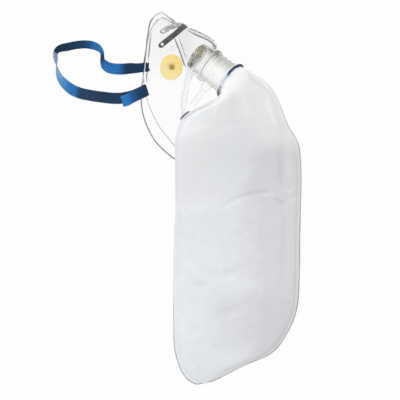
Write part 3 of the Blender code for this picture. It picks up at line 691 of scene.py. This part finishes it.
BAG_ROWS = [
    # left weld x, y, z, right weld x, y, z, fullness, in mm, then lean and bow in percent
    (40.5, 88.1, 62.3, 58.5, 116.5, 70.1, 35.5, 100, 0),
    (30.0, 85.7, 66.5, 69.4, 110.3, 61.5, 33.5, 90, 3),
    (15.0, 79.8, 74.0, 79.0, 103.8, 50.0, 29.0, 60, 3.5),
    (3.3, 70.3, 76.5, 88.6, 91.1, 36.0, 23.0, 30, 2),
    (-1.8, 53.0, 72.5, 99.0, 66.0, 19.0, 19.0, 10, 0.5),
    (-2.1, 34.1, 56.0, 108.5, 49.0, 10.5, 17.5, 0, 0),
    (-2.1, 15.0, 34.0, 110.7, 23.9, 7.0, 17.0, 0, 0),
    (-2.1, -6.1, 15.0, 110.4, -3.9, 6.2, 16.5, 0, 0),
    (-2.9, -35.0, 6.0, 109.6, -35.0, 6.0, 16.0, 0, 0),
    (-3.2, -67.9, 5.8, 109.3, -67.1, 5.8, 15.5, 0, 0),
    (-3.4, -102.0, 5.6, 107.0, -97.9, 5.6, 15.0, 0, 0),
    (-2.8, -131.9, 5.2, 97.8, -121.1, 5.2, 13.5, 0, 0),
    (2.5, -151.9, 4.4, 84.0, -138.1, 4.4, 11.0, 0, 0),
    (9.5, -161.9, 3.2, 60.0, -148.9, 3.2, 7.5, 0, 0),
    (17.3, -166.2, 1.8, 32.0, -163.2, 1.8, 3.4, 0, 0),
]
BAG_STEPS = 26
BAG_TOP = 170                       # points over the top of a section
BAG_UNDER = 44
WELD = 3.2 * MM                     # width of the flat welded edge
WELD_LIFT = 0.3 * MM                # half its thickness
WELD_START, WELD_GROW = 0.06, 0.08  # where it starts below the mouth, and over how much
LEAST_SLANT = 0.22                  # keeps the weld from widening without end
TOP_SHARE, UNDER_SHARE = 0.52, 0.48
BOW = 114 * MM                      # length that the bow of a row is a share of
GATHER_START, GATHER_END = 0.02, 0.20
GATHER_HEIGHT = 0.7 * MM
FOOT_SHARES = (0.97, 0.93)          # the last section, drawn in to close the foot
FOOT_DROP = Vector((0, -0.2, 0)) * MM
MOUTH = [
    # radius, place along the axis and depth of the pleats in mm, from inside the neck to the bag
    (15.3, 35.8, 0.0), (15.3, 29.9, 0.0), (15.7, 29.5, 0.0), (16.3, 29.9, 0.0),
    (16.1, 30.8, 0.0), (16.0, 32.5, 0.0), (16.1, 34.2, 0.0), (16.4, 35.0, 0.3),
]
# Folds of the film, placed by pixels of the photo: height in mm (below 0 is a valley), half width
FOLDS = [
    ([(266, 96), (271, 112), (277, 130)], 1.3, 2.0),
    ([(270, 94), (276, 112), (283, 132), (284, 150)], -1.1, 2.4),
    ([(247, 70), (251, 78), (258, 84), (268, 91)], -1.3, 1.6),
    ([(252, 73), (262, 80), (272, 93)], 1.0, 1.6),
    ([(220, 208), (229, 202), (240, 196.5), (252, 193), (265, 191.5), (276, 194)], -0.9, 1.5),
    ([(222, 212), (236, 204), (248, 199)], 0.5, 2.2),
    ([(262, 197), (271, 194), (281, 199)], 0.8, 1.8),
    ([(274, 196), (279, 201), (286, 204)], -1.2, 2.2),
    ([(284, 186), (289.5, 193), (296, 185.5)], 0.9, 1.4),
    ([(284, 206), (291, 202), (297.5, 197)], 0.9, 1.4),
    ([(279, 140), (281, 165), (280, 190)], -0.8, 3.0),
    ([(290, 145), (289, 165), (292, 185)], 0.6, 3.0),
    ([(281, 205), (284, 230), (282, 262), (284, 290)], -0.45, 2.6),
    ([(258, 205), (262, 222), (259, 240)], -0.4, 3.5),
    ([(228, 96), (219, 104), (212, 118)], 0.7, 2.4),
    ([(236, 92), (232, 106), (236, 122)], -0.5, 3.0),
    ([(246, 92), (245, 104), (252, 118)], 0.5, 3.0),
    ([(203, 108), (192, 117), (181, 137)], 0.6, 2.0),
    ([(176, 140), (192, 131), (213, 124)], 0.5, 2.5),
    ([(213, 130), (230, 122), (246, 124)], -0.4, 3.0),
    ([(192, 283), (200, 285), (207, 283)], -0.7, 2.2),
    ([(222, 270), (229, 272), (237, 270)], -0.7, 2.4),
    ([(216, 278), (225, 282), (238, 278)], 0.6, 2.4),
    ([(240, 275), (252, 279), (262, 274)], -0.4, 2.6),
    ([(208, 318), (222, 312), (240, 306), (252, 303)], -0.5, 2.4),
    ([(212, 326), (228, 318), (246, 314)], 0.5, 2.2),
    ([(246, 322), (258, 332), (268, 344)], -0.5, 2.2),
    ([(208, 350), (216, 346), (226, 349)], -0.5, 2.4),
    ([(281, 302), (286, 304), (292, 303)], -0.6, 1.6),
    ([(258, 286), (262, 296), (257, 308)], 0.5, 2.6),
]


def segment_distance(point, a, b):
    """How far a point is from a segment, and how far along the segment it is nearest."""
    way = b - a
    share = min(max((point - a).dot(way) / max(way.length_squared, 1e-9), 0.0), 1.0)
    return (point - a - way * share).length, share


def fold_height(place):
    """Height of the folds at a place on the film, in metres."""
    total = 0.0
    point = to_pixel(place)
    for line, height, width in FOLDS:
        border = 2.6 * width
        if not all(min(p[k] for p in line) - border < point[k] < max(p[k] for p in line) + border
                   for k in (0, 1)):
            continue
        nearest, at = 1e9, 0.0
        for i in range(len(line) - 1):
            far, share = segment_distance(point, Vector(line[i]), Vector(line[i + 1]))
            if far < nearest:
                nearest, at = far, (i + share) / (len(line) - 1)
        if nearest < border:
            fade = min(1.0, 4.0 * at + 0.1, 4.0 * (1.0 - at) + 0.1)
            total += height * fade * math.exp(-(nearest / width) ** 2)
    return total * MM


def film_wrinkle(place):
    """Small wrinkles of the film."""
    x, y, z = place / MM
    slow = noise.noise(Vector((x / 34.0, y / 46.0, z / 60.0 + 3.1)))
    fine = noise.noise(Vector((x / 13.0, y / 19.0, z / 30.0 + 9.7)))
    sharp = 1.0 - 2.0 * abs(noise.noise(Vector((x / 22.0, y / 15.0, z / 40.0 + 5.3))))
    return (0.9 * slow + 0.35 * fine + 0.30 * max(sharp - 0.55, 0.0)) * MM


def bag_angles():
    """Angles round a section, close together over the top and wider apart underneath."""
    return [math.pi * i / BAG_TOP for i in range(BAG_TOP)] \
        + [math.pi * (1 + i / BAG_UNDER) for i in range(BAG_UNDER)]


def pleat(angle):
    """From -1 to 1 round the gathered mouth."""
    return math.sin(11 * angle + 3 * math.sin(3 * angle))


def mouth_loop(radius, height, depth):
    """Loop of film round the connector's neck."""
    loop = []
    for angle in bag_angles():
        out = PORT_UP * math.cos(angle) + SIDE * math.sin(angle)
        loop.append(PORT + (AXIS * height + out * (radius + depth * pleat(angle))) * MM)
    return loop


def bag_section(row, slopes, share):
    """One closed loop of film, welded flat on each side. share: 0 at the neck, 1 at the foot."""
    left = Vector(row[0:3]) * MM
    right = Vector(row[3:6]) * MM
    full = row[6] * MM
    middle = (left + right) / 2
    half = (right - left) / 2
    up = Vector(UP).lerp(SIDE, 0.01 * row[7]).normalized()
    flat = min(1.0, max(0.0, (share - WELD_START) / WELD_GROW))
    gather = (1.0 - min(1.0, share / GATHER_END)) ** 2 * min(1.0, share / GATHER_START)
    loop = []
    for angle in bag_angles():
        u = math.cos(angle)
        weld = WELD * slopes[0 if u < 0 else 1] / half.length * flat
        inner = max(1.0 - weld, 0.4)
        rise = math.sqrt(max(0.0, 1.0 - (u / inner) ** 2)) if abs(u) < inner else 0.0
        top = math.sin(angle) >= 0
        way = 1.0 if top else -1.0
        swell = rise * (TOP_SHARE if top else UNDER_SHARE) * full + flat * WELD_LIFT
        place = middle + half * u + way * swell * up
        place += AXIS * rise * rise * 0.01 * row[8] * BOW
        if top:
            place += up * rise ** 0.5 * (film_wrinkle(place) * flat + fold_height(place))
        else:
            place -= up * rise ** 0.5 * 0.5 * film_wrinkle(place) * flat
        place += up * way * GATHER_HEIGHT * gather * pleat(angle)
        place.z = max(place.z, 0.0)
        loop.append(place)
    return loop


def edge_slopes(rows):
    """How much wider the weld measures along the section where the edge runs at a slant."""
    made = []
    last = len(rows) - 1
    for i, row in enumerate(rows):
        before, after = rows[max(i - 1, 0)], rows[min(i + 1, last)]
        across = (Vector(row[3:6]) - Vector(row[0:3])).normalized()
        pair = []
        for at in (0, 3):
            run = (Vector(after[at:at + 3]) - Vector(before[at:at + 3])).normalized()
            pair.append(1.0 / max((1.0 - run.dot(across) ** 2) ** 0.5, LEAST_SLANT))
        made.append(pair)
    return made


def film_look():
    """White film, with painted shade to the right and in a creased patch, painted light over its
    upper part, left middle, upper right slope and neck, shaded by its folds and mottled.
    """
    look, tree, shader = principled("film", (0.76, 0.78, 0.80), 0.36)
    grain(tree, shader, 70.0, 0.35, 0.5 * MM, (1.0, 0.7, 1.0))
    patches = maths(tree, "MULTIPLY_ADD", cloud(tree, 75.0, 2.0), 0.6, cloud(tree, 26.0, 3.0))
    # Painted shade: darker towards the right; the noise patches are the film's own uneven tone.
    grey = maths(tree, "MULTIPLY_ADD", patches, 0.35, reach(tree, EAST, 0.0, 0.11))
    tint(tree, shader, grey, ((0.15, (0.86, 0.88, 0.92)), (0.45, (0.80, 0.825, 0.85)),
                              (0.8, (0.78, 0.795, 0.82)), (1.0, (0.69, 0.695, 0.715))))
    # Painted light: paler over the upper part of the film, up to the neck.
    upper = spread(tree, along(tree, NORTH), 0.045, 0.105, 0.0, 0.85)
    paler(tree, shader, upper, (0.97, 0.97, 0.98))
    scaled(tree, shader, spread(tree, attribute(tree, "shade"), 0.0, 1.0, 0.84, 1.16))
    # Painted light: paler over the left middle of the film.
    painted_light_left = product(tree, reach(tree, NORTH, -0.018, 0.0), reach(tree, NORTH, 0.075, 0.055),
                     reach(tree, EAST, 0.055, 0.022))
    paler(tree, shader, product(tree, painted_light_left, 0.4), (0.97, 0.97, 0.98))
    # Painted light: paler over the upper right slope of the film.
    painted_light_slope = product(tree, reach(tree, NORTH, 0.040, 0.056), reach(tree, NORTH, 0.098, 0.084),
                    reach(tree, EAST, 0.058, 0.076))
    paler(tree, shader, product(tree, painted_light_slope, 0.42), (0.99, 0.99, 1.0))
    # Painted light: white at the neck.
    neck = product(tree, reach(tree, NORTH, 0.088, 0.100), reach(tree, EAST, 0.062, 0.050))
    paler(tree, shader, product(tree, neck, 0.95), (1.0, 1.0, 1.0))
    # Painted shade: darker over a creased patch low on the bag.
    crease_shade = product(tree, reach(tree, NORTH, -0.078, -0.092),
                      reach(tree, NORTH, -0.142, -0.128), reach(tree, EAST, 0.028, 0.042))
    paler(tree, shader, product(tree, crease_shade, 0.35), (0.60, 0.61, 0.63))
    mottle = spread(tree, cloud(tree, 120.0, 4.0), 0.42, 0.66)
    paler(tree, shader, product(tree, mottle, 0.13, reach(tree, (-0.5, 1.0, 0), 0.05, -0.04)),
          (0.55, 0.56, 0.58))
    return look


def edge_of(rows, side, start=0.0, end=None, step=4):
    """Points of the left (0) or right (3) weld between two rows of BAG_ROWS."""
    stop = None if end is None else int(end * BAG_STEPS)
    return [Vector(row[side:side + 3]) * MM for row in rows[int(start * BAG_STEPS):stop:step]]


def make_bag_edges(rows):
    """The grey line of the weld round the bag, and at its upper left corner a dark bead on the
    weld's edge, painted shadow of the gap under it.
    """
    look, tree, shader = principled("weld_edge", (0.36, 0.37, 0.38), 0.4)
    tint(tree, shader, grain(tree, shader, 120.0, 0.3, 0.3 * MM),
         ((0.35, (0.24, 0.245, 0.25)), (0.65, (0.48, 0.49, 0.50))))
    foot = [Vector(rows[-1][3:6]).lerp(Vector(rows[-1][0:3]), k / 8) * MM for k in range(1, 8)]
    line = edge_of(rows, 3, 1.6) + foot + edge_of(rows, 0, 7.6)[::-1]
    tube("bag_weld", line, [0.5 * MM] * len(line), look)
    # Painted shadow: a near-black bead along the weld at the upper left corner.
    look, tree, shader = principled("weld_gap_shadow", (0.10, 0.10, 0.11), 0.5)
    tint(tree, shader, grain(tree, shader, 200.0, 0.3, 0.3 * MM),
         ((0.35, (0.07, 0.07, 0.08)), (0.65, (0.20, 0.20, 0.21))))
    line = [place + Vector((-0.4, 0.4, 0.6)) * MM for place in edge_of(rows, 0, 2.3, 3.1, 2)]
    tube("bag_corner_weld_shadow", line, [0.75 * MM] * len(line), look)


def make_bag():
    """Film from inside the neck, over its rim and down to the rounded foot."""
    rows = smooth_line(BAG_ROWS, BAG_STEPS)
    loops = [mouth_loop(*place) for place in MOUTH]
    for i, (row, slopes) in enumerate(zip(rows, edge_slopes(rows))):
        loops.append(bag_section(row, slopes, i / (len(rows) - 1)))
    foot = loops[-1]
    middle = sum(foot, Vector()) / len(foot)
    for share in FOOT_SHARES:
        loops.append([middle + (place - middle) * share + FOOT_DROP for place in foot])
    vertices, faces = loops_to_mesh(loops)
    faces.append(tuple(range(len(vertices) - len(foot), len(vertices))))
    bag = mesh_object("bag_film", vertices, faces)
    shade = bag.data.attributes.new("shade", "FLOAT", "POINT")
    shade.data.foreach_set("value", [0.5 + 0.3 * fold_height(v.co) / MM if v.co.z > 2 * MM else 0.5
                                     for v in bag.data.vertices])
    make_bag_edges(rows)
    bag.data.materials.append(film_look())
    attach(bag, "root")
    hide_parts("reservoir_bag")


# Head strap

STRAP_ROWS = [
    # place in mm, then the direction of the width, from the free tail to the end in the far slot
    (-48.30, 86.10, 91.60, -0.300, 0.954, 0.000),
    (-44.40, 87.20, 94.30, -0.340, 0.940, 0.000),
    (-39.80, 89.60, 96.30, -0.370, 0.929, 0.030),
    (-33.00, 92.90, 97.10, -0.340, 0.932, 0.120),
    (-28.60, 94.90, 95.90, -0.305, 0.926, 0.221),
    (-26.60, 96.20, 93.20, -0.305, 0.926, 0.221),
    (-26.60, 96.60, 91.00, -0.305, 0.926, 0.221),
    (-28.60, 96.00, 88.90, -0.305, 0.926, 0.221),
    (-32.20, 94.20, 87.90, -0.305, 0.926, 0.221),
    (-37.00, 92.00, 87.00, -0.310, 0.940, 0.080),
    (-42.60, 90.40, 84.60, -0.196, 0.979, 0.049),
    (-48.60, 89.40, 80.00, -0.060, 0.998, 0.020),
    (-55.00, 89.35, 72.60, 0.000, 1.000, 0.000),
    (-67.61, 90.82, 59.97, 0.030, 1.000, 0.000),
    (-77.74, 92.63, 47.52, 0.060, 0.998, 0.030),
    (-87.78, 95.17, 35.53, 0.195, 0.976, 0.098),
    (-94.75, 98.49, 26.98, 0.346, 0.890, 0.297),
    (-100.81, 103.41, 19.53, 0.506, 0.658, 0.557),
    (-105.13, 108.78, 13.54, 0.541, 0.295, 0.787),
    (-107.45, 113.99, 9.54, 0.351, 0.080, 0.933),
    (-108.70, 120.38, 7.00, 0.030, 0.000, 1.000),
    (-109.61, 127.11, 6.54, -0.331, 0.000, 0.944),
    (-109.78, 130.88, 6.18, -0.338, 0.100, 0.936),
    (-108.20, 134.16, 6.00, -0.250, 0.401, 0.881),
    (-104.63, 136.05, 5.81, -0.100, 0.619, 0.779),
    (-100.31, 136.87, 5.63, 0.000, 0.692, 0.722),
    (-90.77, 138.75, 5.63, 0.000, 0.692, 0.722),
    (-81.39, 139.28, 5.63, 0.030, 0.692, 0.722),
    (-75.16, 138.10, 5.63, 0.100, 0.688, 0.718),
    (-70.43, 135.76, 5.81, 0.204, 0.510, 0.836),
    (-68.03, 132.36, 5.91, 0.270, 0.200, 0.942),
    (-67.61, 128.46, 6.00, 0.292, 0.000, 0.956),
    (-67.45, 124.81, 5.91, 0.381, 0.201, 0.903),
    (-65.79, 121.20, 5.36, 0.453, 0.655, 0.605),
    (-62.88, 118.91, 4.63, 0.203, 0.913, 0.355),
    (-58.65, 117.68, 4.00, 0.020, 0.993, 0.119),
    (-50.02, 117.23, 3.73, 0.000, 0.995, 0.100),
    (-41.96, 117.90, 4.20, -0.020, 0.940, 0.340),
    (-36.80, 118.00, 6.40, -0.120, 0.840, 0.530),
    (-30.60, 118.60, 9.80, -0.260, 0.760, 0.600),
    (-27.60, 119.00, 10.20, -0.305, 0.740, 0.600),
    (-26.60, 119.30, 9.00, -0.305, 0.740, 0.600),
    (-26.60, 119.40, 8.10, -0.305, 0.740, 0.600),
    (-27.80, 119.20, 7.00, -0.305, 0.740, 0.600),
    (-31.20, 118.60, 5.90, -0.305, 0.740, 0.600),
]
# Painted sheen and painted shade of the elastic at rows of the strap: (row, 0 dark to 1 pale)
STRAP_SHEEN = [(0, 0.6), (0.6, 0.67), (1.5, 0.6), (2.1, 0.38), (2.9, 0.14), (4, 0.05),
              (13.8, 0.05), (14.8, 0.1), (15.4, 0.6), (16.2, 0.66), (17, 0.8), (18, 0.86),
              (19, 0.95), (20.5, 1.08), (22.2, 1.05), (22.4, 0.08), (25, 0.02), (26.2, 0.12),
              (27.2, 0.35), (28, 0.62), (29.4, 0.7), (30.2, 0.6), (30.9, 0.1), (31.6, 0.08),
              (32.4, 0.5), (33.2, 0.66), (35.7, 0.64), (36.5, 0.12), (44, 0.03)]
STRAP_WIDTH = 10 * MM
STRAP_THICKNESS = 1.1 * MM
STRAP_STEPS = 10
STRAP_ACROSS = 44                   # steps over its width
RIB_HEIGHT = 0.12 * MM
RIB_ROOM = 0.08 * MM                # taken off the face, so that the ribs stay in the thickness
RIB_TURNS = 9
STRIPE_TURNS = 5                    # fewer than the ribs, so that they show in a small picture
EDGE_THINNING, EDGE_POWER = 0.45, 14


def spaced_line(rows, steps):
    """Smooth curve through points at uneven distances, as the strap in the source has."""
    gaps = [(Vector(b[0:3]) - Vector(a[0:3])).length for a, b in zip(rows, rows[1:])]
    slopes = []
    last = len(rows) - 1
    for i in range(last + 1):
        near, far = gaps[max(i - 1, 0)], gaps[min(i, last - 1)]
        before = [(b - a) / near for a, b in zip(rows[max(i - 1, 0)], rows[max(i, 1)])]
        after = [(b - a) / far for a, b in zip(rows[min(i, last - 1)], rows[min(i + 1, last)])]
        slopes.append([(a * far + b * near) / (near + far) for a, b in zip(before, after)])
    line = []
    for i, gap in enumerate(gaps):
        for step in range(steps):
            t = step / steps
            line.append(tuple(
                (2 * t ** 3 - 3 * t ** 2 + 1) * a + (t ** 3 - 2 * t ** 2 + t) * gap * u
                + (3 * t ** 2 - 2 * t ** 3) * b + (t ** 3 - t ** 2) * gap * v
                for a, b, u, v in zip(rows[i], rows[i + 1], slopes[i], slopes[i + 1])))
    line.append(tuple(rows[-1]))
    return line


def sheen_at(row):
    """Painted sheen and shade of the elastic at a row, between the numbers of the table above."""
    for (before, a), (after, b) in zip(STRAP_SHEEN, STRAP_SHEEN[1:]):
        if row <= after:
            return a + (b - a) * (row - before) / (after - before)
    return STRAP_SHEEN[-1][1]


def webbing_look():
    """Blue elastic with painted sheen and painted shade along it, and darker and paler stripes
    that are painted highlight and shade of its ribs.
    """
    look, tree, shader = principled("webbing", (0.012, 0.07, 0.18), 0.7)
    shader.inputs["Sheen Weight"].default_value = 0.1
    shader.inputs["Specular IOR Level"].default_value = 0.25
    shader.inputs["Sheen Tint"].default_value = (0.35, 0.6, 0.9, 1)
    grain(tree, shader, 900.0, 0.5, 0.25 * MM, (0.35, 1.0, 1.0))
    # The fade attribute carries painted sheen and painted shade along the strap.
    light = maths(tree, "MULTIPLY_ADD", cloud(tree, 45.0, 4.0), 0.35, attribute(tree, "fade"))
    tint(tree, shader, product(tree, light, 0.8),
         ((0.14, (0.003, 0.026, 0.075)), (0.30, (0.005, 0.05, 0.13)),
          (0.50, (0.008, 0.10, 0.34)), (0.68, (0.02, 0.19, 0.52)),
          (0.82, (0.09, 0.30, 0.62)), (0.95, (0.34, 0.46, 0.68))))
    # Stripes across the width: painted highlight and shade of the ribs.
    turns = product(tree, attribute(tree, "across"), math.pi * STRIPE_TURNS)
    scaled(tree, shader, spread(tree, maths(tree, "COSINE", turns), -1.0, 1.0, 0.68, 1.25))
    return look


def make_strap():
    """Woven elastic with ribs along it, following the strap of the source."""
    line = spaced_line(STRAP_ROWS, STRAP_STEPS)
    points = [Vector(row[0:3]) * MM for row in line]
    around = [(face, (1.0 - 2.0 * j / STRAP_ACROSS) * face)
              for face in (1.0, -1.0) for j in range(STRAP_ACROSS + 1)]
    loops = []
    last = len(points) - 1
    for i, place in enumerate(points):
        run = (points[min(i + 1, last)] - points[max(i - 1, 0)]).normalized()
        way = Vector(line[i][3:6]).normalized()
        out = run.cross(way).normalized()
        loop = []
        for face, u in around:
            rib = RIB_HEIGHT * math.cos(u * math.pi * RIB_TURNS)
            edge = 1.0 - EDGE_THINNING * abs(u) ** EDGE_POWER
            height = 0.5 * STRAP_THICKNESS * edge - RIB_ROOM + rib * edge
            loop.append(place + way * u * 0.5 * STRAP_WIDTH + out * face * height)
        loops.append(loop)
    strap = capped_object("strap_webbing", loops)
    # fade: painted sheen and painted shade at each row of the strap.
    fade = strap.data.attributes.new("fade", "FLOAT", "POINT")
    across = strap.data.attributes.new("across", "FLOAT", "POINT")
    fade.data.foreach_set("value", [sheen_at(k / STRAP_STEPS) for k in range(len(loops))
                                    for _ in around])
    across.data.foreach_set("value", [u for _, u in around] * len(loops))
    strap.data.materials.append(webbing_look())
    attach(strap, "root")
    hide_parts("head_strap")


def main():
    bpy.context.scene.view_settings.view_transform = "Standard"
    make_camera()
    make_floor()
    make_light()
    dress_cad()
    make_beads()
    make_flap()
    make_band()
    make_bag()
    make_strap()


main()
